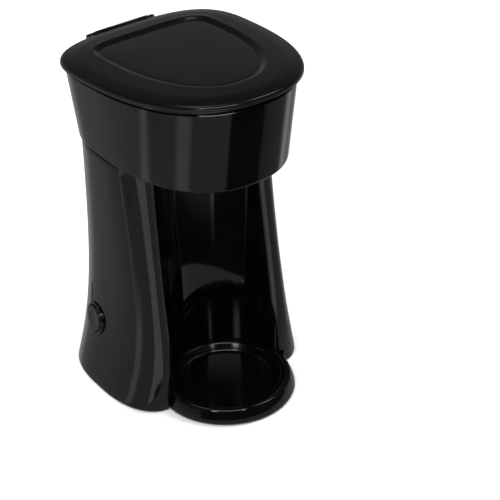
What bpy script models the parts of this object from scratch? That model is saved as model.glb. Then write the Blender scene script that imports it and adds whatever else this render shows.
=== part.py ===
"""Single-serve drip coffee maker with an open mug bay and a tilted hinged lid.

All helper functions take millimetres. Every shape is drawn round the centre of the
cup platform (x right, y to the back, z up) and moved by SHIFT_Y when it is finished, so
that the footprint is centred on the origin.
"""
import math

import bmesh
import bpy
from mathutils import Matrix, Vector

MM = 0.001
GAP = 0.3
SHIFT_Y = -38.4

# lower housing: z, half width, front of the column, back, corner squareness
BODY = (
    (1.5, 77.8, -0.6, 121.0, 2.4),
    (7.0, 76.7, -0.9, 120.2, 2.4),
    (13.4, 75.2, -1.1, 119.4, 2.35),
    (25.0, 72.6, -1.0, 118.0, 2.3),
    (38.0, 70.1, -0.2, 116.8, 2.25),
    (53.0, 67.9, 1.4, 115.8, 2.2),
    (75.0, 65.8, 4.4, 114.8, 2.15),
    (100.0, 64.6, 8.0, 114.2, 2.1),
    (130.0, 64.2, 12.0, 114.0, 2.05),
    (160.0, 64.4, 15.6, 114.0, 2.0),
    (192.0, 65.0, 19.0, 114.4, 2.0),
)
WALL = 2.5
BODY_WIDEST_Y = 52.0
BODY_TOP = 192.0
TIP_RADIUS = 6.2
BAY_R_FOOT = 42.4
BAY_R_TOP = 48.0
LINER_WALL = 2.0

# head and lid
HEAD_BOTTOM = 192.4
HEAD_LOW = (65.0, -39.0, 114.4)
HEAD_HIGH = (68.4, -50.2, 121.8)
HEAD_RIM_Z = 242.4
TILT = 0.12
TILT_BACK_Y = 125.0
LID_EDGE = (72.0, -54.0, 125.2)
LID_UNDER_Z = 242.9
LID_THICK = 4.7
PANEL_EDGE = (49.0, -24.0, 102.0)
HINGE_Y = 127.6
HINGE_Z = 244.0

# platform and tray
RING_R = 50.6
RING_TOP_R = 46.8
RING_TOP = 12.8
WELL_R = 41.4
TRAY_FLOOR = 6.4

# brewing parts
FLOOR_Z = 195.0
DECK_Z = 231.0
BASKET_Y = 2.0
TANK = (47.0, 54.0, 106.0)
TANK_BOTTOM = 104.0
VALVE_X = -22.0
VALVE_Y = 80.0
RISER_X = 53.5
BALL_Z = 71.1
RISER_Y = 80.0

# power switch on the left side
SWITCH_Y = 69.8
SWITCH_Z = 49.5
SWITCH_FACE = -68.6
SWITCH_IN = (0.9881, -0.0988, -0.1186)

PARTS = None
CUTTERS = None


# ---------------------------------------------------------------- set-up and materials
def start_clean():
    """Empty the file and make the two collections."""
    global PARTS, CUTTERS
    for obj in list(bpy.data.objects):
        bpy.data.objects.remove(obj)
    PARTS = bpy.data.collections.new("drip_coffee_maker")
    CUTTERS = bpy.data.collections.new("cutters")
    bpy.context.scene.collection.children.link(PARTS)
    bpy.context.scene.collection.children.link(CUTTERS)


def material(name, colour, roughness, metallic=0.0, transmission=0.0):
    """Return a Principled material."""
    mat = bpy.data.materials.new(name)
    mat.use_nodes = True
    shader = mat.node_tree.nodes["Principled BSDF"]
    shader.inputs["Base Color"].default_value = (*colour, 1.0)
    shader.inputs["Roughness"].default_value = roughness
    shader.inputs["Metallic"].default_value = metallic
    shader.inputs["Transmission Weight"].default_value = transmission
    return mat


FINISH = {
    "gloss": ((0.012, 0.012, 0.013), 0.12, 0.0),
    "satin": ((0.022, 0.022, 0.023), 0.34, 0.0),
    "matte": ((0.03, 0.03, 0.032), 0.6, 0.0),
    "rubber": ((0.02, 0.02, 0.02), 0.85, 0.0),
    "silicone": ((0.72, 0.70, 0.66), 0.5, 0.0),
    "alloy": ((0.62, 0.63, 0.64), 0.4, 1.0),
    "steel": ((0.66, 0.66, 0.65), 0.3, 1.0),
    "ceramic": ((0.82, 0.80, 0.74), 0.6, 0.0),
    "tank": ((0.10, 0.10, 0.11), 0.25, 0.0),
}


def finish(obj, look):
    """Give a finished piece its own material and move it into the shared frame."""
    colour, roughness, metallic = FINISH[look]
    obj.data.materials.clear()
    obj.data.materials.append(material("m_" + obj.name, colour, roughness, metallic))
    obj.location.y += SHIFT_Y * MM
    return obj


# ---------------------------------------------------------------- mesh helpers
def mesh_object(name, bm, cutter=False):
    """Turn a bmesh into a linked object with outward normals."""
    bmesh.ops.remove_doubles(bm, verts=bm.verts, dist=1e-7)
    bmesh.ops.recalc_face_normals(bm, faces=bm.faces)
    mesh = bpy.data.meshes.new(name)
    bm.to_mesh(mesh)
    bm.free()
    obj = bpy.data.objects.new(name, mesh)
    (CUTTERS if cutter else PARTS).objects.link(obj)
    if cutter:
        obj.hide_render = True
        obj.display_type = "WIRE"
        obj.location.y += SHIFT_Y * MM
    return obj


def loft(name, rings, closed=False, cutter=False):
    """Skin equal-length rings of points; cap the ends, or join last to first."""
    bm = bmesh.new()
    rows = [[bm.verts.new(Vector(p) * MM) for p in ring] for ring in rings]
    count = len(rows[0])
    pairs = list(zip(rows, rows[1:]))
    if closed:
        pairs.append((rows[-1], rows[0]))
    for low, high in pairs:
        for i in range(count):
            j = (i + 1) % count
            bm.faces.new((low[i], low[j], high[j], high[i]))
    if not closed:
        bm.faces.new(rows[0])
        bm.faces.new(rows[-1])
    return mesh_object(name, bm, cutter)


def circle(radius, z, centre=(0.0, 0.0), count=48):
    """Return the points of a level circle."""
    step = 2 * math.pi / count
    return [(centre[0] + radius * math.cos(i * step), centre[1] + radius * math.sin(i * step), z)
            for i in range(count)]


def lathe(name, profile, centre=(0.0, 0.0), count=48, closed=True, cutter=False):
    """Turn (radius, z) pairs round a vertical axis; closed makes a hollow ring."""
    return loft(name, [circle(r, z, centre, count) for r, z in profile], closed, cutter)


def turned(name, profile, origin, axis, count=32, closed=False, cutter=False):
    """Turn (radius, along) pairs round any axis through origin."""
    axis = Vector(axis).normalized()
    side = axis.orthogonal().normalized()
    other = axis.cross(side)
    rings = []
    for radius, along in profile:
        base = Vector(origin) + axis * along
        rings.append([base + side * (radius * math.cos(a)) + other * (radius * math.sin(a))
                      for a in (2 * math.pi * i / count for i in range(count))])
    return loft(name, rings, closed, cutter)


def box(name, low, high, cutter=False):
    """Return a box between two corners."""
    rings = [[(low[0], low[1], z), (high[0], low[1], z), (high[0], high[1], z),
              (low[0], high[1], z)] for z in (low[2], high[2])]
    return loft(name, rings, cutter=cutter)


def pipe(name, path, outer, inner=0.0, count=10):
    """Sweep a round tube (or a rod when inner is 0) along a list of points."""
    points = [Vector(p) for p in path]
    side = None
    frames = []
    for i, point in enumerate(points):
        ahead = points[min(i + 1, len(points) - 1)] - points[max(i - 1, 0)]
        ahead.normalize()
        side = ahead.orthogonal() if side is None else side - ahead * side.dot(ahead)
        side.normalize()
        frames.append((point, side.copy(), ahead.cross(side)))

    def rings(radius):
        return [[p + a * (radius * math.cos(t)) + b * (radius * math.sin(t))
                 for t in (2 * math.pi * k / count for k in range(count))]
                for p, a, b in frames]

    if inner <= 0.0:
        return loft(name, rings(outer))
    return loft(name, rings(outer) + rings(inner)[::-1], closed=True)


def bend(points, radius, steps=5):
    """Round the inner corners of a polyline."""
    pts = [Vector(p) for p in points]
    out = [pts[0]]
    for before, corner, after in zip(pts, pts[1:], pts[2:]):
        start = corner + (before - corner).normalized() * radius
        end = corner + (after - corner).normalized() * radius
        for i in range(steps + 1):
            t = i / steps
            out.append(start.lerp(corner, t).lerp(corner.lerp(end, t), t))
    out.append(pts[-1])
    return out


def boolean(target, other, operation="DIFFERENCE"):
    """Cut or join another mesh, exactly."""
    mod = target.modifiers.new("bool_" + other.name, "BOOLEAN")
    mod.operation = operation
    mod.solver = "EXACT"
    mod.object = other
    return target


# ---------------------------------------------------------------- outlines
def egg(edge, widest, front_power, back_power, count=64, inset=0.0):
    """Return a closed plan outline: blunt rounded front, squarer rounded back."""
    half, front, back = edge[0] - inset, edge[1] + inset, edge[2] - inset
    out = []
    for i in range(count):
        angle = 2 * math.pi * i / count
        c, s = math.cos(angle), math.sin(angle)
        power = back_power if s > 0 else front_power
        reach = (back - widest) if s > 0 else (widest - front)
        out.append((half * math.copysign(abs(c) ** (2 / power), c),
                    widest + reach * math.copysign(abs(s) ** (2 / power), s)))
    return out


def tilted(outline, z):
    """Lift a plan outline onto the slope shared by the head rim and the lid."""
    return [(x, y, z + TILT * (TILT_BACK_Y - y)) for x, y in outline]


def head_outline(share, inset=0.0):
    """Return the head outline at a share of its height."""
    edge = [a + (b - a) * share for a, b in zip(HEAD_LOW, HEAD_HIGH)]
    return egg(edge, 60.0, 2.35, 2.9 + 0.6 * share, inset=inset)


def lid_outline(inset=0.0):
    """Return the lid outline."""
    return egg(LID_EDGE, 62.0, 2.38, 3.2, inset=inset)


def body_values(z):
    """Interpolate the lower housing table at a height."""
    for low, high in zip(BODY, BODY[1:]):
        if z <= high[0]:
            t = (z - low[0]) / (high[0] - low[0])
            return [a + (b - a) * t for a, b in zip(low[1:], high[1:])]
    return list(BODY[-1][1:])


def bay_radius(z):
    """Return the radius of the mug bay, which opens slightly upward."""
    return BAY_R_FOOT + (BAY_R_TOP - BAY_R_FOOT) * z / BODY_TOP


def tip_angle(z):
    """Return where the bay wall runs into the rounded column nose."""
    front = body_values(z)[1]
    return math.asin((front + TIP_RADIUS) / (bay_radius(z) + TIP_RADIUS))


def half_path(z):
    """Return the right half of the housing outline, bay edge to middle of the back."""
    half, front, back, power = body_values(z)
    radius = bay_radius(z)
    start = tip_angle(z)
    nose = (math.cos(start) * (radius + TIP_RADIUS), front + TIP_RADIUS)
    path = [(radius * math.cos(start + d), radius * math.sin(start + d))
            for d in (math.radians(5), math.radians(2.5))]
    turn = math.pi / 2 - start
    path += [(nose[0] + TIP_RADIUS * math.cos(math.pi + start + turn * i / 6),
              nose[1] + TIP_RADIUS * math.sin(math.pi + start + turn * i / 6))
             for i in range(7)]
    reach, depth = half - nose[0], BODY_WIDEST_Y - front
    for i in range(1, 11):
        a = math.pi / 2 * (1 - i / 10)
        path.append((nose[0] + reach * math.cos(a) ** (2 / power),
                     BODY_WIDEST_Y - depth * math.sin(a) ** (2 / power)))
    for i in range(1, 11):
        a = math.pi / 2 * i / 10
        path.append((half * math.cos(a) ** (2 / 2.9),
                     BODY_WIDEST_Y + (back - BODY_WIDEST_Y) * math.sin(a) ** (2 / 2.9)))
    return path


def whole_path(z):
    """Return the housing outline from the right bay edge round to the left one."""
    right = half_path(z)
    return right + [(-x, y) for x, y in reversed(right[:-1])]


def offset_path(path, distance):
    """Move an open path to its left side by a distance."""
    out = []
    for i, point in enumerate(path):
        a, b = path[max(i - 1, 0)], path[min(i + 1, len(path) - 1)]
        dx, dy = b[0] - a[0], b[1] - a[1]
        length = math.hypot(dx, dy)
        out.append((point[0] - dy / length * distance, point[1] + dx / length * distance))
    return out


# ---------------------------------------------------------------- housings
def make_lower_housing():
    """C-shaped moulded skin with rounded column noses."""
    rings = []
    for row in BODY:
        path = whole_path(row[0])
        ring = path + offset_path(path, WALL)[::-1]
        rings.append([(x, y, row[0]) for x, y in ring])
    body = loft("lower_housing", rings)
    platform = lathe("cut_platform", [(RING_R + 0.4, -5.0), (RING_R + 0.4, RING_TOP + 0.4)],
                     count=64, closed=False, cutter=True)
    hole = turned("cut_switch", [(12.7, 0.0), (12.7, 35.0)],
                  switch_point(-15.0), SWITCH_IN, cutter=True)
    rear = turned("cut_gland", [(6.3, 0.0), (6.3, 20.0)], (0, 108.0, 20.0), (0, 1, 0),
                  cutter=True)
    groove = box("cut_groove", (-80.0, SWITCH_Y - 0.4, SWITCH_Z + 15.0),
                 (-66.3, SWITCH_Y + 0.4, SWITCH_Z + 32.0), cutter=True)
    for cutter in (platform, hole, rear, groove):
        boolean(body, cutter)
    return finish(body, "gloss")


def make_bay_liner():
    """Concave wall behind the mug."""
    rings = []
    for z in (RING_TOP + 0.6, 40.0, 75.0, 110.0, 150.0, BODY_TOP):
        start = tip_angle(z) + math.radians(5.4)
        turn = math.pi - 2 * start
        radius = bay_radius(z)
        ring = [(r * math.cos(start + turn * i / 24), r * math.sin(start + turn * i / 24), z)
                for r, order in ((radius, range(25)), (radius + LINER_WALL, range(24, -1, -1)))
                for i in order]
        rings.append(ring)
    return finish(loft("bay_liner", rings), "gloss")


def make_base_plate():
    """Floor panel inside the foot, clear of the round platform."""
    rings = []
    for z in (2.6, 5.0):
        path = offset_path(whole_path(z), WALL + 0.4)
        radius = RING_R + 0.8
        path = [p for p in path if math.hypot(*p) > radius + 0.5 and p[0] ** 2 > 52 ** 2
                or p[1] > 60]
        first = math.atan2(path[0][1], path[0][0])
        turn = math.pi - 2 * first
        arc = [(radius * math.cos(first + turn * i / 24), radius * math.sin(first + turn * i / 24))
               for i in range(24, -1, -1)]
        rings.append([(x, y, z) for x, y in path + arc])
    plate = loft("base_plate", rings)
    for x, y in SCREWS:
        boolean(plate, lathe("cut_screw_%d_%d" % (x + 100, y), [(2.2, 0.0), (2.2, 9.0)], (x, y),
                             16, False, True))
    return finish(plate, "matte")


def make_upper_housing():
    """Flared head wall with a stepped rim and two hinge ears."""
    outer = []
    for z, inset in ((HEAD_BOTTOM, 1.3), (HEAD_BOTTOM + 0.5, 0.5), (HEAD_BOTTOM + 1.6, 0.0)):
        share = (z - HEAD_BOTTOM) / 56.0
        outer.append([(x, y, z) for x, y in head_outline(share, inset)])
    for share in (0.2, 0.4, 0.6, 0.8, 0.93):
        outer.append(blended_ring(share, 0.0))
    outer += [blended_ring(0.938, 1.3), blended_ring(1.0, 1.3)]
    inner = [blended_ring(share, WALL + 0.6) for share in (1.0, 0.75, 0.5, 0.25)]
    inner.append([(x, y, HEAD_BOTTOM) for x, y in head_outline(0.0, WALL + 0.6)])
    head = loft("upper_housing", outer + inner, closed=True)
    for side in (-1, 1):
        boolean(head, hinge_ear(side), "UNION")
    boolean(head, turned("cut_hinge_head", [(1.68, 0.0), (1.68, 80.0)],
                         (-40.0, HINGE_Y, HINGE_Z), (1, 0, 0), 16, cutter=True))
    return finish(head, "gloss")


def blended_ring(share, inset):
    """Return a head section that turns from level at the seam to tilted at the rim."""
    out = []
    for x, y in head_outline(share, inset):
        rim = HEAD_RIM_Z + TILT * (TILT_BACK_Y - y)
        out.append((x, y, HEAD_BOTTOM + (rim - HEAD_BOTTOM) * share))
    return out


def level_ring(z, inset):
    """Return a level section of the head at a height."""
    out = []
    for i, (x, y) in enumerate(head_outline(0.5, inset)):
        for _ in range(4):
            rim = HEAD_RIM_Z + TILT * (TILT_BACK_Y - y)
            x, y = head_outline((z - HEAD_BOTTOM) / (rim - HEAD_BOTTOM), inset)[i]
        out.append((x, y, z))
    return out


def hinge_ear(side):
    """Return one hinge ear that grows out of the back of the head."""
    low, high = sorted((side * 24.0, side * 28.0))
    profile = [(118.8, 229.0), (120.8, 229.0), (HINGE_Y + 3.0, 239.4),
               (HINGE_Y + 3.2, HINGE_Z), (HINGE_Y + 2.1, HINGE_Z + 2.0), (HINGE_Y, HINGE_Z + 2.8),
               (HINGE_Y - 2.0, HINGE_Z + 2.0), (HINGE_Y - 2.7, HINGE_Z), (HINGE_Y - 2.9, 240.8),
               (118.8, 240.8)]
    rings = [[(x, y, z) for y, z in profile] for x in (low, high)]
    return loft("ear_left" if side < 0 else "ear_right", rings, cutter=True)


def make_head_floor():
    """Panel that closes the head over the bay."""
    rings = [level_ring(z, WALL + 1.2) for z in (FLOOR_Z, FLOOR_Z + 2.0)]
    floor = loft("head_floor", rings)
    opening = loft("cut_floor_tank", [[(x, y, z) for x, y in tank_outline(1.0)]
                                      for z in (FLOOR_Z - 5, FLOOR_Z + 8)], cutter=True)
    boolean(floor, opening)
    boolean(floor, lathe("cut_floor_spout", [(7.4, FLOOR_Z - 5), (7.4, FLOOR_Z + 8)],
                         (0.0, BASKET_Y), 32, False, True))
    boolean(floor, lathe("cut_floor_riser", [(4.8, FLOOR_Z - 5), (4.8, FLOOR_Z + 8)],
                         (RISER_X, RISER_Y), 20, False, True))
    return finish(floor, "gloss")


def make_top_deck():
    """Inner shelf under the lid with the tank and basket openings."""
    rings = [level_ring(z, WALL + 1.2) for z in (DECK_Z, DECK_Z + 2.4)]
    deck = loft("top_deck", rings)
    opening = loft("cut_deck_tank", [[(x, y, z) for x, y in tank_outline(0.8)]
                                     for z in (DECK_Z - 5, DECK_Z + 8)], cutter=True)
    boolean(deck, opening)
    boolean(deck, lathe("cut_deck_basket", [(39.6, DECK_Z - 5), (39.6, DECK_Z + 8)],
                        (0.0, BASKET_Y), 48, False, True))
    boolean(deck, lathe("cut_deck_riser", [(4.8, DECK_Z - 5), (4.8, DECK_Z + 8)],
                        (RISER_X, RISER_Y), 20, False, True))
    return finish(deck, "satin")


# ---------------------------------------------------------------- lid
def make_lid():
    """One moulded plate with a rounded edge and a shallow D-shaped panel."""
    z = LID_UNDER_Z
    top = z + LID_THICK
    rings = [tilted(lid_outline(2.0), z), tilted(lid_outline(0.7), z + 0.3),
             tilted(lid_outline(0.0), z + 1.6), tilted(lid_outline(0.0), z + 2.7),
             tilted(lid_outline(0.9), z + 4.3), tilted(lid_outline(2.8), top + 0.1),
             tilted(lid_outline(8.0), top + 0.9), tilted(lid_outline(15.0), top + 1.5)]
    for inset, lift in ((0.0, 1.9), (1.2, 1.7), (4.0, 0.1), (5.2, -0.1), (18.0, 0.2), (40.0, 0.5)):
        rings.append(tilted(panel_outline(inset), top + lift))
    under = [tilted(panel_outline(40.0), top - 2.4), tilted(panel_outline(5.0), top - 2.6),
             tilted(lid_outline(14.0), top - 2.2), tilted(lid_outline(5.2), top - 2.6),
             tilted(lid_outline(4.9), z)]
    lid = loft("lid", under + rings)
    for side in (-1, 1):
        boolean(lid, lid_knuckle(side), "UNION")
    boolean(lid, turned("cut_hinge_lid", [(1.68, 0.0), (1.68, 80.0)],
                        (-40.0, HINGE_Y, HINGE_Z), (1, 0, 0), 16, cutter=True))
    lid = finish(lid, "satin")
    return move_origin(lid, (0.0, HINGE_Y, HINGE_Z))


def panel_outline(inset):
    """Return the D-shaped panel: nearly straight back edge, rounded front."""
    return egg(PANEL_EDGE, 66.0, 2.2, 5.0, inset=inset)


def lid_knuckle(side):
    """Return one knuckle on the back edge of the lid."""
    low, high = sorted((side * 17.0, side * 23.6))
    profile = [(HINGE_Y - 8.0, HINGE_Z + 0.4), (HINGE_Y - 2.9, HINGE_Z - 1.2),
               (HINGE_Y - 1.6, HINGE_Z - 2.7), (HINGE_Y + 1.2, HINGE_Z - 2.9),
               (HINGE_Y + 2.9, HINGE_Z - 1.2), (HINGE_Y + 2.9, HINGE_Z + 1.2),
               (HINGE_Y + 1.2, HINGE_Z + 2.9), (HINGE_Y - 8.0, HINGE_Z + 3.0)]
    rings = [[(x, y, z) for y, z in profile] for x in (low, high)]
    return loft("knuckle_left" if side < 0 else "knuckle_right", rings, cutter=True)


def make_lid_liner():
    """Thin panel clipped into the underside of the lid."""
    top = LID_UNDER_Z + LID_THICK - 3.0
    rings = [tilted(lid_outline(7.0), top - 1.6), tilted(lid_outline(7.0), top)]
    return finish(loft("lid_liner", rings), "matte")


def make_hinge_pin():
    """Steel rod through both knuckles and both ears."""
    pin = turned("hinge_pin", [(1.6, 0.0), (1.6, 55.4)], (-27.7, HINGE_Y, HINGE_Z), (1, 0, 0), 16)
    return finish(pin, "steel")


def move_origin(obj, point):
    """Put the object origin on a joint axis without moving the mesh."""
    shift = Vector(point) * MM
    obj.data.transform(Matrix.Translation(-shift))
    obj.location += shift
    return obj


# ---------------------------------------------------------------- platform and tray
def make_tray_platform():
    """Round base ring with a sloping skirt and a well for the tray."""
    profile = [(RING_R - 0.6, 1.5), (RING_R, 2.3), (RING_R - 0.3, 4.5), (49.2, 8.5),
               (48.2, 10.8), (47.4, 12.1), (RING_TOP_R - 0.4, RING_TOP), (44.0, RING_TOP),
               (WELL_R + 0.5, RING_TOP - 0.5), (WELL_R + 0.3, RING_TOP - 1.2),
               (WELL_R - 3.2, 4.2), (2.0, 4.2), (2.0, 1.5)]
    return finish(lathe("tray_platform", profile, count=60), "gloss")


def make_drip_tray():
    """Shallow lift-off dish with a rolled rim."""
    profile = [(WELL_R - 3.8, 4.6), (WELL_R - 0.5, RING_TOP - 1.6), (WELL_R - 0.1, RING_TOP - 1.0),
               (WELL_R - 0.3, RING_TOP - 0.6), (WELL_R - 1.6, RING_TOP - 0.5),
               (WELL_R - 2.4, RING_TOP - 1.0), (WELL_R - 5.4, TRAY_FLOOR)]
    rings = [circle(r, z, count=60) for r, z in profile]
    return finish(loft("drip_tray", rings), "gloss")


# ---------------------------------------------------------------- brewing parts
def tank_outline(grow=0.0):
    """Return the rounded rectangular outline of the tank."""
    half, front, back = TANK
    return egg((half + grow, front - grow, back + grow), (front + back) / 2, 5.0, 5.0, 48)


def make_water_tank():
    """Open-topped tank that reaches down behind the bay."""
    def level(grow, z):
        return [(x, y, z) for x, y in tank_outline(grow)]
    outer = [level(-2.0, TANK_BOTTOM), level(0.0, TANK_BOTTOM + 2.0), level(0.0, DECK_Z + 4.6)]
    inner = [level(-2.0, DECK_Z + 4.6), level(-2.0, TANK_BOTTOM + 4.0),
             level(-4.0, TANK_BOTTOM + 2.2)]
    tank = loft("water_tank", outer + inner)
    boolean(tank, lathe("cut_tank_outlet", [(6.4, TANK_BOTTOM - 5), (6.4, TANK_BOTTOM + 8)],
                        (VALVE_X, VALVE_Y), 24, False, True))
    return finish(tank, "tank")


def make_tank_seal():
    """Rubber grommet in the outlet hole of the tank."""
    z = TANK_BOTTOM
    profile = [(3.2, z - 1.6), (8.2, z - 1.6), (8.2, z - 0.3), (6.1, z - 0.3), (6.1, z + 2.5),
               (8.0, z + 2.5), (8.0, z + 3.6), (3.2, z + 3.6)]
    return finish(lathe("tank_seal", profile, (VALVE_X, VALVE_Y), 24), "rubber")


def make_outlet_spout():
    """Drip spout through the head floor, with a flange above it."""
    z = FLOOR_Z
    profile = [(3.4, z - 7.5), (5.6, z - 7.5), (7.0, z - 4.0), (7.0, z + 2.3), (12.0, z + 2.3),
               (12.0, z + 3.8), (3.4, z + 3.8)]
    return finish(lathe("outlet_spout", profile, (0.0, BASKET_Y), 32), "satin")


def make_brew_basket():
    """Tapered brew basket that hangs in the deck by its flange."""
    low, rim = FLOOR_Z + 4.2, DECK_Z + 2.7
    profile = [(2.6, low), (24.0, low), (30.0, low + 3.0), (38.6, rim), (42.6, rim),
               (42.6, rim + 1.8), (37.4, rim + 1.8), (28.4, low + 4.6), (23.4, low + 2.0),
               (2.6, low + 2.0)]
    return finish(lathe("brew_basket", profile, (0.0, BASKET_Y), 40), "satin")


def make_mesh_filter():
    """Reusable filter cup with a rim and a lifting tab."""
    low, rim = FLOOR_Z + 9.0, DECK_Z + 4.8
    profile = [(22.0, low), (35.2, rim), (38.6, rim), (38.6, rim + 1.4), (34.2, rim + 1.4),
               (21.2, low + 0.9)]
    cup = loft("mesh_filter", [circle(r, z, (0.0, BASKET_Y), 36) for r, z in profile])
    tab = box("tab_filter", (-5.0, BASKET_Y - 38.0, rim + 0.2), (5.0, BASKET_Y - 35.6, rim + 7.0),
              cutter=True)
    boolean(cup, tab, "UNION")
    return finish(cup, "steel")


def make_spray_arm():
    """Moulded arm from the riser to the clip-on shower head over the filter."""
    z = DECK_Z + 12.6
    path = bend([(RISER_X, RISER_Y, DECK_Z + 4.0), (RISER_X, RISER_Y, z), (46.0, 46.0, z),
                 (0.0, BASKET_Y, z), (0.0, BASKET_Y, z - 6.5)], 4.0)
    finish(pipe("spray_arm", path, 3.4, 2.0), "satin")
    profile = [(1.5, z - 9.5), (10.5, z - 9.5), (11.5, z - 8.5), (10.0, z - 7.1),
               (5.4, z - 6.1), (5.4, z - 4.7), (3.9, z - 4.7), (3.9, z - 7.3), (1.5, z - 7.3)]
    return finish(lathe("shower_head", profile, (0.0, BASKET_Y), 32), "satin")


def make_hoses():
    """Silicone hoses between tank, valve, heater and riser."""
    feed = [(VALVE_X, VALVE_Y, 102.0), (VALVE_X, VALVE_Y, 91.0)]
    drop = [(VALVE_X, VALVE_Y, 62.0), (VALVE_X, VALVE_Y, 45.0)]
    riser = bend([(22.0, VALVE_Y, 45.0), (22.0, VALVE_Y, 66.0), (38.0, VALVE_Y, 82.0),
                  (RISER_X, RISER_Y, 98.0), (RISER_X, RISER_Y, DECK_Z + 8.0 - 4.6)], 9.0)
    finish(pipe("tank_hose", feed, 4.6, 3.0), "silicone")
    finish(pipe("heater_hose", drop, 4.6, 3.0), "silicone")
    finish(pipe("riser_hose", riser, 4.3, 3.0), "silicone")


def make_check_valve():
    """One-way valve between tank and heater: body and loose ball."""
    x, y = VALVE_X, VALVE_Y
    profile = [(1.6, 60.0), (2.6, 60.0), (2.6, 65.0), (7.0, 66.5), (7.0, 84.0), (2.6, 85.5),
               (2.6, 93.5), (1.6, 93.5), (1.6, 84.0), (5.2, 80.0), (5.2, 70.0), (1.6, 68.0)]
    finish(lathe("valve_body", profile, (x, y), 24), "satin")
    ball = [(0.4, -3.1), (2.0, -2.5), (2.9, -1.3), (3.2, 0.0), (2.9, 1.3), (2.0, 2.5), (0.4, 3.1)]
    piece = lathe("valve_ball", [(r, BALL_Z + z) for r, z in ball], (x, y), 16, False)
    finish(piece, "ceramic")
    move_origin(piece, (x, y, BALL_Z))


def make_clamps():
    """Spring clamps on the hose ends."""
    spots = ((VALVE_X, VALVE_Y, 92.0, 4.9), (VALVE_X, VALVE_Y, 60.5, 4.9),
             (VALVE_X, VALVE_Y, 47.0, 4.9), (22.0, VALVE_Y, 47.0, 4.6))
    for i, (x, y, z, radius) in enumerate(spots, start=1):
        ring = [(radius, z), (radius + 0.8, z), (radius + 0.8, z + 4.0), (radius, z + 4.0)]
        clamp = lathe("hose_clamp_%d" % i, ring, (x, y), 16)
        for side in (-1, 1):
            ear = box("ear_clamp_%d_%d" % (i, side + 1), (x + side * 1.8 - 0.5, y - radius - 5.0, z),
                      (x + side * 1.8 + 0.5, y - radius - 0.2, z + 4.0), cutter=True)
            boolean(clamp, ear, "UNION")
        finish(clamp, "steel")


def make_heater():
    """Flow-through heater: water tube, heating bar, strap, thermostat and fuse."""
    z = 20.0
    tube = bend([(VALVE_X, VALVE_Y, 58.0 - 6.0), (VALVE_X, VALVE_Y, z), (-22.0, 99.0, z),
                 (22.0, 99.0, z), (22.0, VALVE_Y, z), (22.0, VALVE_Y, 52.0)], 8.0)
    finish(pipe("heater_tube", tube, 2.7, 1.8), "alloy")
    bar = bend([(-30.0, 62.0, 13.0), (-30.0, 106.0, 13.0), (30.0, 106.0, 13.0),
                (30.0, 62.0, 13.0)], 10.0)
    finish(pipe("heating_bar", bar, 3.6, 0.0), "steel")
    body = box("heater_block", (-26.0, 84.0, 8.0), (26.0, 96.0, 16.9))
    finish(body, "alloy")
    strap = box("heater_strap", (-20.0, 66.0, 5.6), (20.0, 83.4, 7.4))
    finish(strap, "steel")
    finish(lathe("thermostat", [(8.0, 7.8), (8.0, 14.0), (6.8, 15.0), (6.8, 17.0)], (0.0, 74.0),
                 24, False), "ceramic")
    fuse = turned("thermal_fuse", [(1.2, -9.0), (1.2, -5.0), (2.2, -4.4), (2.2, 4.4), (1.2, 5.0),
                                   (1.2, 9.0)], (0.0, 90.0, 24.0), (1, 0, 0), 16)
    finish(fuse, "steel")


# ---------------------------------------------------------------- switch, foot, cord gland
def make_switch():
    """Round bezel, push button and switch body on the left side."""
    origin = switch_point(0.0)
    bezel = turned("switch_bezel", [(11.9, -0.9), (12.4, -0.3), (12.4, 7.0), (10.4, 7.0),
                                    (10.4, -0.3), (10.8, -0.9)], origin, SWITCH_IN, 40, True)
    finish(bezel, "satin")
    button = turned("switch_button", [(5.5, -2.9), (8.4, -2.6), (9.6, -1.7), (10.0, -0.4),
                                      (10.0, 4.0)], origin, SWITCH_IN, 40)
    finish(button, "gloss")
    move_origin(button, origin)
    base = box("switch_body", (SWITCH_FACE + 9.0, SWITCH_Y - 9.0, SWITCH_Z - 10.5),
               (SWITCH_FACE + 25.0, SWITCH_Y + 7.0, SWITCH_Z + 7.5))
    for side in (-1, 1):
        pin = box("lug_switch_%d" % (side + 1),
                  (SWITCH_FACE + 24.5, SWITCH_Y + side * 4 - 2.0, SWITCH_Z - 0.4),
                  (SWITCH_FACE + 31.0, SWITCH_Y + side * 4 + 2.0, SWITCH_Z + 0.4), cutter=True)
        boolean(base, pin, "UNION")
    finish(base, "matte")


def switch_point(depth):
    """Return a point on the switch axis; negative depth is outside the housing."""
    face = Vector((SWITCH_FACE, SWITCH_Y, SWITCH_Z))
    return face + Vector(SWITCH_IN).normalized() * depth


def make_cord_gland():
    """Strain relief at the back of the foot."""
    profile = [(3.2, -6.0), (7.6, -6.0), (7.6, -4.6), (6.0, -4.6), (6.0, 1.6), (7.4, 1.6),
               (7.0, 4.0), (4.6, 8.5), (3.2, 8.5)]
    gland = turned("cord_gland", profile, (0.0, 119.0, 20.0), (0, 1, 0), 24, True)
    return finish(gland, "rubber")


SCREWS = ((-62.0, 44.0), (62.0, 44.0), (-36.0, 104.0), (36.0, 104.0))
FEET = ((-62.0, 22.0), (62.0, 22.0), (-54.0, 92.0), (54.0, 92.0))


def make_feet_and_screws():
    """Rubber feet under the plate and the screws that hold it."""
    for i, (x, y) in enumerate(FEET, start=1):
        finish(lathe("rubber_foot_%d" % i, [(6.4, 0.0), (7.0, 0.5), (7.0, 2.3)], (x, y), 24,
                     False), "rubber")
    for i, (x, y) in enumerate(SCREWS, start=1):
        profile = [(3.6, 0.9), (3.8, 1.3), (3.8, 2.3), (1.8, 2.31), (1.8, 9.0), (1.2, 10.0)]
        finish(lathe("base_screw_%d" % i, profile, (x, y), 16, False), "steel")


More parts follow.
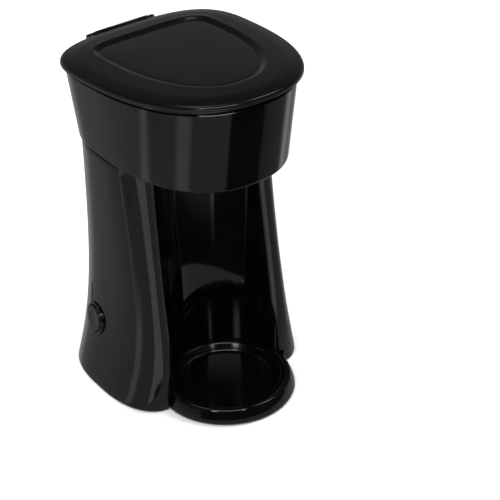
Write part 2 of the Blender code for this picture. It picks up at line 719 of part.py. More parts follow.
def main():
    """Build every piece."""
    start_clean()
    make_lower_housing()
    make_bay_liner()
    make_base_plate()
    make_upper_housing()
    make_head_floor()
    make_top_deck()
    make_lid()
    make_lid_liner()
    make_hinge_pin()
    make_tray_platform()
    make_drip_tray()
    make_water_tank()
    make_tank_seal()
    make_outlet_spout()
    make_brew_basket()
    make_mesh_filter()
    make_spray_arm()
    make_hoses()
    make_check_valve()
    make_clamps()
    make_heater()
    make_switch()
    make_cord_gland()
    make_feet_and_screws()


main()
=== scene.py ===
"""Looks of a single-serve drip coffee maker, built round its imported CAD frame.

Lengths inside the classes are millimetres in the maker's own layout: x to the right,
y to the back from the middle of the cup platform, z up from the worktop. The bench
turns them into metres in the row frame.
"""

import logging
import math
from dataclasses import dataclass
from enum import Enum
from typing import Callable, Iterable, Sequence

import bmesh
import bpy
from mathutils import Matrix, Vector


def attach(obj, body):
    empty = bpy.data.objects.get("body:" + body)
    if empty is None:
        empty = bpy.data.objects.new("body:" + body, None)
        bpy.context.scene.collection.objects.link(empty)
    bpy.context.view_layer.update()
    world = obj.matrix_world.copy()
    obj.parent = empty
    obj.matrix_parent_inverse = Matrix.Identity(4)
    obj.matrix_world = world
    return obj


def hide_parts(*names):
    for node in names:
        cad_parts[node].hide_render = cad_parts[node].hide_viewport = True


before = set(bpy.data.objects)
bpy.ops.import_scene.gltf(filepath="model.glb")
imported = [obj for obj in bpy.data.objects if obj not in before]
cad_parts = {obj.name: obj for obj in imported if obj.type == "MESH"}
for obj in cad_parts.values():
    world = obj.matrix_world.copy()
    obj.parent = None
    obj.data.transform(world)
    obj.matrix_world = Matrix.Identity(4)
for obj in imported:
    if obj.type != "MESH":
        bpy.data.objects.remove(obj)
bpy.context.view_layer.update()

logging.basicConfig(level=logging.INFO, format="%(name)s: %(message)s")
LOG = logging.getLogger("coffee_maker")

MM = 0.001
SHIFT_Y = -38.4           # from the middle of the platform to the middle of the footprint
HINGE = (127.6, 244.0)    # y and z of the lid's hinge axis
SLOPE = 0.12              # rise of the head's rim and the lid for each mm towards the front
BACK_Y = 125.0            # y where that slope starts
PIN_HOLE = (1.7, 0.0, 80.0, (-40.0, *HINGE), (1, 0, 0), 32)   # drilled for the hinge pin
GLAND_Z = 20.0            # height of the cord's way out

Point = tuple[float, float, float]
Flat = tuple[float, float]


def place(point: Sequence[float]) -> Vector:
    """Turn a point of the maker's layout into metres in the row frame.

    Args:
        point: x, y and z in millimetres.

    Returns:
        The same point in metres, moved so that the footprint is centred.
    """
    return Vector((point[0], point[1] + SHIFT_Y, point[2])) * MM


class Body(Enum):
    """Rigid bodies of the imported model."""

    MACHINE = "machine"
    LID = "lid"
    BUTTON = "power_button"
    TRAY = "tray"


# ------------------------------------------------------------------ plan outlines
def egg(half: float, front: float, back: float, widest: float, powers: Flat,
        count: int = 240) -> list[Flat]:
    """Draw a plan outline with a blunt round front and a squarer back.

    Args:
        half: half of the width.
        front: y of the foremost point.
        back: y of the rearmost point.
        widest: y where the outline is widest.
        powers: squareness of the front and of the back.
        count: number of points.

    Returns:
        The points, anticlockwise from the right side.
    """
    points = []
    for i in range(count):
        angle = 2 * math.pi * i / count
        c, s = math.cos(angle), math.sin(angle)
        power = powers[1] if s > 0 else powers[0]
        reach = back - widest if s > 0 else widest - front
        points.append((half * math.copysign(abs(c) ** (2 / power), c),
                       widest + reach * math.copysign(abs(s) ** (2 / power), s)))
    return points


def spaced(path: list[Flat], count: int, first: int = 0) -> list[Flat]:
    """Space points evenly along an open path.

    Args:
        path: points of the path.
        count: how many equal steps the path is split into.
        first: number of the step to start at, 0 for the path's own first point.

    Returns:
        As many points as there are steps.
    """
    steps = [math.dist(a, b) for a, b in zip(path, path[1:])]
    total, out, walked, k = sum(steps), [], 0.0, 0
    for i in range(first, first + count):
        goal = total * i / count
        while k < len(steps) - 1 and walked + steps[k] < goal:
            walked += steps[k]
            k += 1
        t = min(1.0, (goal - walked) / max(steps[k], 1e-9))
        a, b = path[k], path[k + 1]
        out.append((between(a[0], b[0], t), between(a[1], b[1], t)))
    return out


def even(outline: list[Flat], count: int) -> list[Flat]:
    """Space the points of a closed outline evenly, keeping the first one."""
    return spaced(outline + outline[:1], count)


def sloped(y: float) -> float:
    """Return how much higher the rim and the lid are at y than at the back."""
    return SLOPE * (BACK_Y - y)


def between(a: float, b: float, t: float) -> float:
    """Return the value a share of the way from a to b."""
    return a + (b - a) * t


def eased(t: float) -> float:
    """Return a smooth step between 0 and 1."""
    t = min(1.0, max(0.0, t))
    return t * t * (3 - 2 * t)


def hermite(table: Sequence[Sequence[float]], z: float) -> list[float]:
    """Read a table of rows smoothly at a height.

    Args:
        table: rows that start with their height.
        z: the height.

    Returns:
        The other columns at that height.
    """
    rows = list(table)
    z = min(max(z, rows[0][0]), rows[-1][0])
    k = max(i for i in range(len(rows) - 1) if rows[i][0] <= z + 1e-9)

    def slope(i: int, column: int) -> float:
        low, high = rows[max(i - 1, 0)], rows[min(i + 1, len(rows) - 1)]
        return (high[column] - low[column]) / (high[0] - low[0])

    a, b = rows[k], rows[k + 1]
    span = b[0] - a[0]
    t = (z - a[0]) / span
    out = []
    for column in range(1, len(a)):
        m, n = slope(k, column) * span, slope(k + 1, column) * span
        out.append((2 * t**3 - 3 * t**2 + 1) * a[column] + (t**3 - 2 * t**2 + t) * m
                   + (-2 * t**3 + 3 * t**2) * b[column] + (t**3 - t**2) * n)
    return out


# ------------------------------------------------------------------ bench: modelling steps
class Bench:
    """Modelling steps done with Blender's own operators."""

    @staticmethod
    def deselect() -> None:
        """Leave edit mode and select nothing."""
        if bpy.context.object and bpy.context.object.mode != "OBJECT":
            bpy.ops.object.mode_set(mode="OBJECT")
        bpy.ops.object.select_all(action="DESELECT")

    @staticmethod
    def pick(obj: bpy.types.Object) -> None:
        """Make one object the only selected and active one."""
        Bench.deselect()
        obj.select_set(True)
        bpy.context.view_layer.objects.active = obj

    @staticmethod
    def _settle(ring: Sequence[Point], previous: list[int]) -> list[int]:
        """Move the freshly extruded row onto its section.

        Args:
            ring: the section's points.
            previous: vertex numbers of the row that was extruded.

        Returns:
            The vertex numbers of the new row, in the section's order.
        """
        bm = bmesh.from_edit_mesh(bpy.context.object.data)
        bm.verts.ensure_lookup_table()
        rank = {index: i for i, index in enumerate(previous)}
        row = [0] * len(previous)
        for vert in [v for v in bm.verts if v.select]:
            for edge in vert.link_edges:
                other = edge.other_vert(vert).index
                if other in rank:
                    row[rank[other]] = vert.index
        for index, point in zip(row, ring):
            bm.verts[index].co = place(point)
        bmesh.update_edit_mesh(bpy.context.object.data)
        return row

    @staticmethod
    def loft(name: str, rings: Sequence[Sequence[Point]], closed: bool = False,
             caps: bool = True) -> bpy.types.Object:
        """Start from a circle and extrude it through a stack of sections.

        Args:
            name: name of the piece.
            rings: sections with the same number of points.
            closed: join the last section to the first, as on a hollow ring.
            caps: close the first and the last section.

        Returns:
            The new object, its mesh placed in the row frame.
        """
        Bench.deselect()
        count = len(rings[0])
        bpy.ops.mesh.primitive_circle_add(vertices=count, radius=0.05, enter_editmode=True)
        obj = bpy.context.object
        obj.name = name
        obj.data.name = name
        bm = bmesh.from_edit_mesh(obj.data)
        bm.verts.ensure_lookup_table()
        for vert, point in zip(bm.verts, rings[0]):
            vert.co = place(point)
        bmesh.update_edit_mesh(obj.data)
        bpy.ops.mesh.select_all(action="SELECT")
        row = list(range(count))
        for ring in list(rings[1:]) + ([rings[0]] if closed else []):
            bpy.ops.mesh.extrude_edges_move()
            row = Bench._settle(ring, row)
        if caps and not closed:
            bpy.ops.mesh.edge_face_add()
            Bench._select_row(range(count))
            bpy.ops.mesh.edge_face_add()
        bpy.ops.mesh.select_all(action="SELECT")
        bpy.ops.mesh.remove_doubles(threshold=1e-6)
        bpy.ops.mesh.normals_make_consistent(inside=False)
        bpy.ops.object.mode_set(mode="OBJECT")
        return obj

    @staticmethod
    def _select_row(row: Iterable[int]) -> None:
        """Select the edges of one row in edit mode."""
        bm = bmesh.from_edit_mesh(bpy.context.object.data)
        bm.verts.ensure_lookup_table()
        for face in bm.faces:
            face.select = False
        chosen = set(row)
        for vert in bm.verts:
            vert.select = vert.index in chosen
        for edge in bm.edges:
            edge.select = edge.verts[0].index in chosen and edge.verts[1].index in chosen
        bmesh.update_edit_mesh(bpy.context.object.data)

    @staticmethod
    def turned(name: str, profile: Sequence[Flat], centre: Point, axis: Point = (0, 0, 1),
               steps: int = 96, closed: bool = False) -> bpy.types.Object:
        """Turn (radius, along) pairs round an axis, as on a lathe.

        Args:
            name: name of the piece.
            profile: radius and distance along the axis, in order.
            centre: a point on the axis where the distance is 0.
            axis: direction of the axis.
            steps: number of sides.
            closed: join the last pair to the first.

        Returns:
            The new object.
        """
        line = Vector(axis).normalized()
        side = line.orthogonal().normalized()
        other = line.cross(side)
        rings = [Bench._circle(Vector(centre) + line * along, side, other, radius, steps)
                 for radius, along in profile]
        return Bench.loft(name, rings, closed)

    @staticmethod
    def _circle(spot: Vector, across: Vector, up: Vector, radius: float,
                steps: int) -> list[Point]:
        """Return the points of a circle in the plane of two directions."""
        return [tuple(spot + across * (radius * math.cos(2 * math.pi * i / steps))
                      + up * (radius * math.sin(2 * math.pi * i / steps)))
                for i in range(steps)]

    @staticmethod
    def rounded(corners: Sequence[Point], radius: float, steps: int = 10) -> list[Vector]:
        """Round the corners of a path with soft bends.

        Args:
            corners: the path's corner points.
            radius: how far from each corner its bend starts.
            steps: how many steps each bend has.

        Returns:
            The points of the rounded path.
        """
        points = [Vector(c) for c in corners]
        path = [points[0]]
        for before, corner, after in zip(points, points[1:], points[2:]):
            start = corner + (before - corner).normalized() * radius
            end = corner + (after - corner).normalized() * radius
            for i in range(steps + 1):
                t = i / steps
                path.append(start * (1 - t) ** 2 + corner * (2 * t * (1 - t)) + end * t * t)
        return path + [points[-1]]

    @staticmethod
    def tube(name: str, path: Sequence[Vector], radius: float, bore: float,
             steps: int = 32) -> bpy.types.Object:
        """Run a hollow round section along a path.

        Args:
            name: name of the piece.
            path: points along the middle.
            radius: outer radius.
            bore: inner radius.
            steps: number of sides.

        Returns:
            The new object.
        """
        ways = [(b - a).normalized() for a, b in zip(path, path[1:])]
        ways = [ways[0]] + [(a + b).normalized() for a, b in zip(ways, ways[1:])] + [ways[-1]]
        side, frames = ways[0].orthogonal().normalized(), []
        for spot, way in zip(path, ways):
            side = (side - way * side.dot(way)).normalized()
            frames.append((spot, side.copy(), way.cross(side)))
        rings = [Bench._circle(*spot, reach, steps) for reach, order in
                 ((radius, frames), (bore, frames[::-1])) for spot in order]
        return Bench.loft(name, rings, closed=True)

    @staticmethod
    def slab(name: str, outline: Sequence[Flat], plane: Callable[[Flat, float], Point],
             low: float, high: float) -> bpy.types.Object:
        """Extrude a flat outline between two distances.

        Args:
            name: name of the piece.
            outline: points of the outline.
            plane: turns an outline point and a distance into a point in space.
            low: first distance.
            high: last distance.

        Returns:
            The new object.
        """
        return Bench.loft(name, [[plane(p, d) for p in outline] for d in (low, high)])

    @staticmethod
    def modify(obj: bpy.types.Object, kind: str, **settings: object) -> bpy.types.Object:
        """Add a modifier and apply it at once."""
        Bench.pick(obj)
        modifier = obj.modifiers.new(kind.lower(), kind)
        for key, value in settings.items():
            setattr(modifier, key, value)
        bpy.ops.object.modifier_apply(modifier=modifier.name)
        return obj

    @staticmethod
    def drill(obj: bpy.types.Object, radius: float, low: float, high: float, centre: Point,
              axis: Point = (0, 0, 1), steps: int = 96) -> bpy.types.Object:
        """Cut a round hole between two distances along an axis."""
        return Bench.cut(obj, Bench.turned("tool", [(radius, low), (radius, high)], centre,
                                           axis, steps))

    @staticmethod
    def round_edges(obj: bpy.types.Object, width: float, segments: int = 3,
                    angle: float = 40.0) -> bpy.types.Object:
        """Round the sharp edges by a width in millimetres."""
        return Bench.modify(obj, "BEVEL", width=width * MM, segments=segments,
                            limit_method="ANGLE", angle_limit=math.radians(angle),
                            use_clamp_overlap=True, miter_outer="MITER_ARC")

    @staticmethod
    def cut(obj: bpy.types.Object, tool: bpy.types.Object,
            operation: str = "DIFFERENCE") -> bpy.types.Object:
        """Cut or join another mesh and throw that mesh away."""
        Bench.modify(obj, "BOOLEAN", operation=operation, solver="EXACT", object=tool)
        bpy.data.objects.remove(tool)
        return obj

    @staticmethod
    def smooth(obj: bpy.types.Object, angle: float = 32.0) -> bpy.types.Object:
        """Shade smooth across every edge flatter than an angle in degrees."""
        Bench.pick(obj)
        bpy.ops.object.shade_smooth_by_angle(angle=math.radians(angle))
        return obj


# ------------------------------------------------------------------ finishes
def linear(code: str) -> tuple[float, float, float, float]:
    """Turn an sRGB hex value into linear RGBA."""
    parts = [int(code.lstrip("#")[i:i + 2], 16) / 255 for i in (0, 2, 4)]
    return (*[c / 12.92 if c <= 0.04045 else ((c + 0.055) / 1.055) ** 2.4 for c in parts], 1.0)


def node(tree: bpy.types.NodeTree, kind: str, settings: dict | None = None) -> bpy.types.Node:
    """Add a shader node.

    Args:
        tree: the node tree.
        kind: the node's type name, without its common first part.
        settings: attributes, and inputs by name or number; a socket is joined to its input.

    Returns:
        The new node.
    """
    new = tree.nodes.new("ShaderNode" + kind)
    for key, value in (settings or {}).items():
        if isinstance(value, bpy.types.NodeSocket):
            tree.links.new(value, new.inputs[key])
        elif isinstance(key, str) and key in {p.identifier for p in new.bl_rna.properties}:
            setattr(new, key, value)
        else:
            new.inputs[key].default_value = value
    return new


def maths(tree: bpy.types.NodeTree, operation: str, *values: object) -> bpy.types.NodeSocket:
    """Add a maths node fed by sockets and numbers, and return its output."""
    return node(tree, "Math", {"operation": operation, **dict(enumerate(values))}).outputs[0]


@dataclass
class Recipe:
    """A material in the making: its nodes, and the usual steps of building it.

    Args:
        name: the material's name.
    """

    name: str

    def __post_init__(self) -> None:
        self.material = bpy.data.materials.new(self.name)
        self.material.use_nodes = True
        self.tree = self.material.node_tree
        self.inputs = self.tree.nodes["Principled BSDF"].inputs

    def where(self) -> bpy.types.NodeSocket:
        """Return the object's own coordinates."""
        return node(self.tree, "TexCoord").outputs["Object"]

    def noise(self, where: bpy.types.NodeSocket, spacing: float, detail: float,
              roughness: float = 0.5) -> bpy.types.NodeSocket:
        """Add noise with a spacing in millimetres."""
        return node(self.tree, "TexNoise", {"Scale": 1 / (spacing * MM), "Detail": detail,
                                            "Roughness": roughness,
                                            "Vector": where}).outputs["Fac"]

    def tint(self, share: bpy.types.NodeSocket, first: str, second: str) -> None:
        """Colour the surface between two hex colours."""
        mix = node(self.tree, "Mix", {"data_type": "RGBA", 0: share, 6: linear(first),
                                      7: linear(second)})
        self.tree.links.new(mix.outputs[2], self.inputs["Base Color"])

    def roughen(self, share: bpy.types.NodeSocket, low: float, high: float,
                gloss: Flat) -> None:
        """Spread a range of a pattern over the lowest and highest roughness."""
        spread = node(self.tree, "MapRange", {"From Min": low, "From Max": high,
                                              "To Min": gloss[0], "To Max": gloss[1],
                                              "Value": share})
        self.tree.links.new(spread.outputs["Result"], self.inputs["Roughness"])

    def emboss(self, height: bpy.types.NodeSocket, depth: float,
               strength: float = 1.0) -> None:
        """Raise a pattern by a depth in millimetres, over any relief already there."""
        settings = {"Strength": strength, "Distance": depth * MM, "Height": height}
        if self.inputs["Normal"].is_linked:
            settings["Normal"] = self.inputs["Normal"].links[0].from_socket
        self.tree.links.new(node(self.tree, "Bump", settings).outputs[0],
                            self.inputs["Normal"])


@dataclass(frozen=True)
class Plastic:
    """Injection-moulded plastic: a base colour, gloss, fine peel and faint handling marks.

    Args:
        name: common name and how the surface was made.
        colour: sRGB hex of the resin.
        shade: sRGB hex it drifts to in broad soft patches.
        gloss: lowest and highest roughness over the surface.
        peel_mm: spacing of the skin's fine unevenness.
        peel_depth: height of that unevenness, in millimetres.
        grain_mm: spacing of a spark-eroded grain, 0 for none.
        grain_depth: height of the grain, in millimetres.
        ior: index of refraction.
        patch_mm: spacing of the broad soft patches.
        streak_mm: spacing of the faint wiped streaks.
    """

    name: str
    colour: str
    shade: str
    gloss: Flat
    peel_mm: float = 9.0
    peel_depth: float = 0.004
    grain_mm: float = 0.0
    grain_depth: float = 0.0
    ior: float = 1.5
    patch_mm: float = 38.0
    streak_mm: float = 2.2

    def material(self, tag: str = "") -> bpy.types.Material:
        """Build the node material."""
        recipe = Recipe(self.name + tag)
        recipe.inputs["IOR"].default_value = self.ior
        where = recipe.where()
        broad = recipe.noise(where, self.patch_mm, 2.0)
        recipe.tint(broad, self.colour, self.shade)
        # faint wiped streaks and dust film break the mirror a little
        stretch = node(recipe.tree, "Mapping", {"Scale": (1.0, 1.0, 0.16), "Vector": where,
                                                "Rotation": (0.5, 0.3, 0.0)})
        streak = recipe.noise(stretch.outputs["Vector"], self.streak_mm, 5.0, 0.65)
        recipe.roughen(maths(recipe.tree, "MULTIPLY", streak, broad), 0.12, 0.42, self.gloss)
        recipe.emboss(recipe.noise(where, self.peel_mm, 1.0), self.peel_depth)
        if self.grain_mm:
            grain = node(recipe.tree, "TexVoronoi", {"Scale": 1 / (self.grain_mm * MM),
                                                     "Vector": where})
            recipe.emboss(grain.outputs["Distance"], self.grain_depth)
        return recipe.material


@dataclass(frozen=True)
class Metal:
    """Drawn or extruded metal with lines along one direction.

    Args:
        name: common name and how the surface was made.
        colour: sRGB hex of the metal.
        shade: sRGB hex of its darker streaks.
        gloss: lowest and highest roughness.
        line_mm: spacing of the drawing lines.
        stretch: how much longer than wide the lines are along x, y and z.
    """

    name: str
    colour: str
    shade: str
    gloss: Flat
    line_mm: float = 0.5
    stretch: Point = (0.05, 1.0, 1.0)

    def material(self, tag: str = "") -> bpy.types.Material:
        """Build the node material."""
        recipe = Recipe(self.name + tag)
        recipe.inputs["Metallic"].default_value = 1.0
        drawn = node(recipe.tree, "Mapping", {"Scale": self.stretch,
                                              "Vector": recipe.where()})
        lines = recipe.noise(drawn.outputs["Vector"], self.line_mm, 3.0)
        recipe.tint(lines, self.shade, self.colour)
        recipe.roughen(lines, 0.3, 0.7, self.gloss)
        recipe.emboss(lines, 0.01, 0.6)
        return recipe.material


@dataclass(frozen=True)
class Sieve:
    """Woven stainless mesh: crossing wires with dark holes between them.

    Args:
        name: common name and how the surface was made.
        wire: sRGB hex of the wire.
        hole: sRGB hex seen through the holes.
        pitch_mm: wire spacing, drawn coarser than the real 0.3 mm so that it shows.
    """

    name: str
    wire: str
    hole: str
    pitch_mm: float = 0.9

    def material(self, tag: str = "") -> bpy.types.Material:
        """Build the node material."""
        recipe = Recipe(self.name + tag)
        tree = recipe.tree
        recipe.inputs["Roughness"].default_value = 0.38
        axes = node(tree, "SeparateXYZ", {0: recipe.where()}).outputs
        beat = 2 * math.pi / (self.pitch_mm * MM)
        waves = [maths(tree, "SINE", maths(tree, "MULTIPLY", axis, beat)) for axis in axes]
        weave = maths(tree, "MAXIMUM", maths(tree, "MAXIMUM", *waves[:2]), waves[2])
        wires = node(tree, "MapRange", {"From Min": -0.1, "From Max": 0.35,
                                        "Value": weave}).outputs["Result"]
        recipe.tint(wires, self.hole, self.wire)
        tree.links.new(wires, recipe.inputs["Metallic"])
        recipe.emboss(weave, 0.08, 0.8)
        return recipe.material


# piano-black ABS from a polished mould: near-black, mirror gloss, the faintest peel
PIANO_ABS = Plastic("piano_black_abs", "#030304", "#060607", (0.05, 0.11))
# the lid's ABS has a softer polish, so it reads an even dark grey under the light
LID_ABS = Plastic("soft_polish_black_abs", "#060607", "#0a0a0b", (0.16, 0.22), peel_mm=6.0)
# bay wall: the same resin, polished, mostly seeing its own dark surroundings; its colours are set
# darker than the body's, painted shade for the recessed bay
BAY_ABS_PAINTED_SHADE = Plastic("polished_bay_abs", "#020203", "#030304", (0.03, 0.07))
# tray: the same resin from a satin mould, so it mirrors its surroundings softly; its colours are
# set darker than the body's, painted shade where it sits in the bay under the head
TRAY_ABS_PAINTED_SHADE = Plastic("satin_tray_abs", "#020203", "#040405", (0.12, 0.2), peel_mm=4.0)
# brew basket, deck, arm, spout and valve: black polypropylene, a little waxy, fine spark grain
BASKET_PP = Plastic("grained_black_polypropylene", "#121213", "#1a1a1b", (0.36, 0.5),
                    grain_mm=0.8, grain_depth=0.02, ior=1.49)
# base plate, lid liner and switch body: plain matte moulding with a coarser grain
BASE_PP = Plastic("matte_black_polypropylene", "#151516", "#1d1d1e", (0.5, 0.66),
                  grain_mm=1.2, grain_depth=0.04, ior=1.49)
# tank: smoked styrene acrylonitrile, smooth inside
TANK_SAN = Plastic("smoked_san_tank", "#1b1c1f", "#26272b", (0.08, 0.16), ior=1.57)
# feet, tank seal and cord gland: moulded rubber with a chalky bloom
RUBBER = Plastic("moulded_rubber", "#161616", "#242423", (0.7, 0.9), grain_mm=0.7,
                 grain_depth=0.04, ior=1.52)
# hoses: milky silicone
SILICONE = Plastic("milky_silicone_hose", "#cfccc4", "#bdb9ae", (0.4, 0.55), ior=1.41)
# thermostat and ball: unglazed steatite
CERAMIC = Plastic("unglazed_steatite", "#d9d4c6", "#cbc5b5", (0.5, 0.7), grain_mm=0.5,
                  grain_depth=0.02)
STEEL = Metal("drawn_stainless_steel", "#c4c5c6", "#9d9ea0", (0.22, 0.36))
ALLOY = Metal("extruded_aluminium", "#bfc1c4", "#a2a4a8", (0.3, 0.45), line_mm=0.8,
              stretch=(1.0, 0.05, 1.0))
MESH = Sieve("woven_steel_mesh", "#c9cacb", "#17181a")


@dataclass
class Piece:
    """One finished object with its finish, its body and the CAD node it belongs to.

    Args:
        obj: the object.
        finish: what it is made of.
        node: the CAD node, which also names the material slot.
        body: the rigid body it rides on.
        instead: whether it stands for the CAD node, which is then hidden.
    """

    obj: bpy.types.Object
    # node: the CAD node it belongs to.
    finish: Plastic | Metal | Sieve
    node: str
    body: Body = Body.MACHINE
    instead: bool = True

    def deliver(self) -> None:
        """Dress the object, hang it on its body and report it."""
        self.obj.data.materials.clear()
        self.obj.data.materials.append(self.finish.material("_" + self.obj.name))
        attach(self.obj, self.body.value)
        if self.instead:
            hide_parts(self.node)
        LOG.info("%s: %d faces, on %s", self.obj.name, len(self.obj.data.polygons),
                 self.body.value)


# ------------------------------------------------------------------ lower housing and bay
@dataclass
class LowerHousing:
    """Waisted C-shaped skin: two columns with rounded noses beside the mug bay.

    Args:
        table: height, half width, front y, back y and squareness of the front, from the foot.
        wall: thickness of the skin.
        top: height of the seam under the head.
        widest_y: y where the skin is widest.
        back_power: squareness of the back.
        nose: radius of the columns' front edges.
        bay_foot: radius of the mug bay at the worktop.
        bay_top: radius of the mug bay at the seam.
        foot: height of the lower edge.
        flare_top: height where the foot's flare ends.
        lap: degrees that the skin laps onto the bay wall.
        liner_foot: height of the bay wall's lower edge.
        liner_gap: degrees between the skin's lap and the bay wall.
        liner_wall: thickness of the bay wall.
        ring_cut: radius and height of the cut for the cup platform.
        cord_hole: radius of the cord's hole.
    """

    table: tuple[tuple[float, ...], ...] = (
        (1.5, 77.8, -0.6, 121.0, 2.4), (7.0, 76.7, -0.9, 120.2, 2.4),
        (13.4, 75.2, -1.1, 119.4, 2.35), (25.0, 72.6, -1.0, 118.0, 2.3),
        (38.0, 70.1, -0.2, 116.8, 2.25), (53.0, 67.9, 1.4, 115.8, 2.2),
        (75.0, 65.8, 4.4, 114.8, 2.15), (100.0, 64.6, 8.0, 114.2, 2.1),
        (130.0, 64.2, 12.0, 114.0, 2.05), (160.0, 64.4, 15.6, 114.0, 2.0),
        (192.0, 65.0, 19.0, 114.4, 2.0))
    wall: float = 2.5
    top: float = 192.0
    widest_y: float = 52.0
    back_power: float = 2.9
    nose: float = 6.2
    bay_foot: float = 42.4
    bay_top: float = 48.0
    foot: float = 1.5
    flare_top: float = 51.5
    lap: float = 5.0
    liner_foot: float = 13.4
    liner_gap: float = 0.3
    liner_wall: float = 2.0
    ring_cut: Flat = (51.0, 13.2)
    cord_hole: float = 6.3

    def bay(self, z: float) -> float:
        """Return the bay radius at a height."""
        return between(self.bay_foot, self.bay_top, z / self.top)

    def tip(self, z: float) -> float:
        """Return the angle where the bay wall runs into the column nose."""
        front = hermite(self.table, z)[1]
        return math.asin((front + self.nose) / (self.bay(z) + self.nose))

    def half(self, z: float) -> list[Flat]:
        """Return the right half of the skin, from the bay edge to the middle of the back."""
        half, front, back, power = hermite(self.table, z)
        radius, start = self.bay(z), self.tip(z)
        centre = (math.cos(start) * (radius + self.nose), front + self.nose)
        path = [(radius * math.cos(start + math.radians(d)),
                 radius * math.sin(start + math.radians(d)))
                for d in [self.lap * i / 4 for i in (4, 3, 2, 1)]]
        turn = math.pi / 2 - start
        path += [(centre[0] + self.nose * math.cos(math.pi + start + turn * i / 18),
                  centre[1] + self.nose * math.sin(math.pi + start + turn * i / 18))
                 for i in range(19)]
        reach, depth = half - centre[0], self.widest_y - front
        side = []
        for i in range(1, 400):
            a = math.pi / 2 * (1 - i / 400)
            side.append((centre[0] + reach * math.cos(a) ** (2 / power),
                         self.widest_y - depth * math.sin(a) ** (2 / power)))
        for i in range(0, 401):
            a = math.pi / 2 * i / 400
            side.append((half * math.cos(a) ** (2 / self.back_power),
                         self.widest_y + (back - self.widest_y)
                         * math.sin(a) ** (2 / self.back_power)))
        return path + spaced([path[-1]] + side, 76, 1)

    def skin(self, z: float) -> list[Point]:
        """Return the closed C-shaped section at a height."""
        right = self.half(z)
        path = right + [(-x, y) for x, y in reversed(right[:-1])]
        inner = []
        for i, point in enumerate(path):
            a, b = path[max(i - 1, 0)], path[min(i + 1, len(path) - 1)]
            dx, dy = b[0] - a[0], b[1] - a[1]
            length = math.hypot(dx, dy)
            inner.append((point[0] - dy / length * self.wall, point[1] + dx / length * self.wall))
        return [(x, y, z) for x, y in path + inner[::-1]]

    def heights(self) -> list[float]:
        """Return section heights, closer together where the foot flares."""
        low = [self.foot + (self.flare_top - self.foot) * (i / 18) for i in range(18)]
        return low + [between(self.flare_top, self.top, i / 26) for i in range(27)]

    def build(self, switch: "Switch") -> Piece:
        """Model the skin and cut its openings.

        Args:
            switch: the power switch, for its hole and the groove over it.

        Returns:
            The finished skin.
        """
        obj = Bench.loft("lower_housing_skin", [self.skin(z) for z in self.heights()])
        Bench.round_edges(obj, 0.45, 2, 50.0)
        Bench.drill(obj, self.ring_cut[0], -5.0, self.ring_cut[1], (0, 0, 0))
        Bench.drill(obj, switch.hole, -15.0, 20.0, switch.face, switch.axis)
        Bench.drill(obj, self.cord_hole, 0.0, 20.0, (0, 108.0, GLAND_Z), (0, 1, 0), 32)
        Bench.cut(obj, switch.groove_tool())
        return Piece(Bench.smooth(obj, 30.0), PIANO_ABS, "lower_housing")

    def liner(self) -> Piece:
        """Model the concave wall behind the mug."""
        rings = []
        for z in [between(self.liner_foot, self.top, i / 24) for i in range(25)]:
            start = self.tip(z) + math.radians(self.lap + self.liner_gap)
            turn = math.pi - 2 * start
            radius = self.bay(z)
            rings.append([(r * math.cos(start + turn * i / 72), r * math.sin(start + turn * i / 72),
                           z) for r, order in ((radius, range(73)),
                                               (radius + self.liner_wall, range(72, -1, -1)))
                          for i in order])
        obj = Bench.smooth(Bench.loft("bay_wall", rings), 30.0)
        return Piece(obj, BAY_ABS_PAINTED_SHADE, "bay_liner")


# ------------------------------------------------------------------ head
@dataclass
class Head:
    """Flared upper housing with a rounded lower edge, a stepped rim and hinge ears.

    Args:
        low: half width, front y and back y at the seam.
        high: the same at the rim.
        bottom: height of the seam.
        rim: height of the rim at the back.
        wall: thickness of the wall.
        ear: x of the inner and outer side of a hinge ear.
    """

    low: Point = (65.0, -39.0, 114.4)
    high: Point = (68.4, -50.2, 121.8)
    bottom: float = 192.4
    rim: float = 242.4
    wall: float = 3.1
    ear: Flat = (24.0, 28.0)

    def outline(self, share: float, inset: float = 0.0) -> list[Flat]:
        """Return the plan outline at a share of the height."""
        half, front, back = [between(a, b, share) for a, b in zip(self.low, self.high)]
        points = egg(half - inset, front + inset, back - inset, 60.0,
                     (2.35, 2.9 + 0.6 * share), 720)
        return even(points, 240)

    def section(self, share: float, inset: float = 0.0) -> list[Point]:
        """Return a section that turns from level at the seam to tilted at the rim."""
        return [(x, y, between(self.bottom, self.rim + sloped(y), share))
                for x, y in self.outline(share, inset)]

    def build(self) -> Piece:
        """Model the wall as one hollow ring and join the hinge ears."""
        rings = []
        for i in range(7):
            a = math.pi / 2 * i / 6
            rings.append([(x, y, self.bottom + 1.7 * (1 - math.cos(a)))
                          for x, y in self.outline(0.03 * i / 6, 1.5 * (1 - math.sin(a)))])
        rings += [self.section(share) for share in
                  [0.07 + 0.86 * i / 18 for i in range(19)] + [0.938]]
        rings += [self.section(0.944, 0.35), self.section(0.946, 1.2), self.section(0.992, 1.3),
                  self.section(1.0, 1.6)]
        rings += [self.section(s, self.wall) for s in (1.0, 0.8, 0.6, 0.4, 0.2)]
        rings.append([(x, y, self.bottom + 0.4) for x, y in self.outline(0.0, self.wall)])
        obj = Bench.loft("head_shell", rings, closed=True)
        for side in (-1, 1):
            Bench.cut(obj, self.ear_block(side), "UNION")
        Bench.drill(obj, *PIN_HOLE)
        return Piece(Bench.smooth(obj, 34.0), PIANO_ABS, "upper_housing")

    def ear_block(self, side: int) -> bpy.types.Object:
        """Return one hinge ear with a rounded top."""
        y, z = HINGE
        outline = [(118.8, 229.0), (120.8, 229.0), (y + 2.2, 236.6), (y + 3.0, 239.4)]
        outline += [(y + r * math.cos(a), z + 2.8 * math.sin(a)) for r, a in
                    [(between(3.15, 2.7, i / 10), math.pi * i / 10) for i in range(11)]]
        outline += [(y - 2.9, 240.8), (118.8, 240.8)]
        low, high = sorted(side * x for x in self.ear)
        block = Bench.slab("tool_ear", outline, lambda p, d: (d, p[0], p[1]), low, high)
        return Bench.round_edges(block, 0.35, 2)


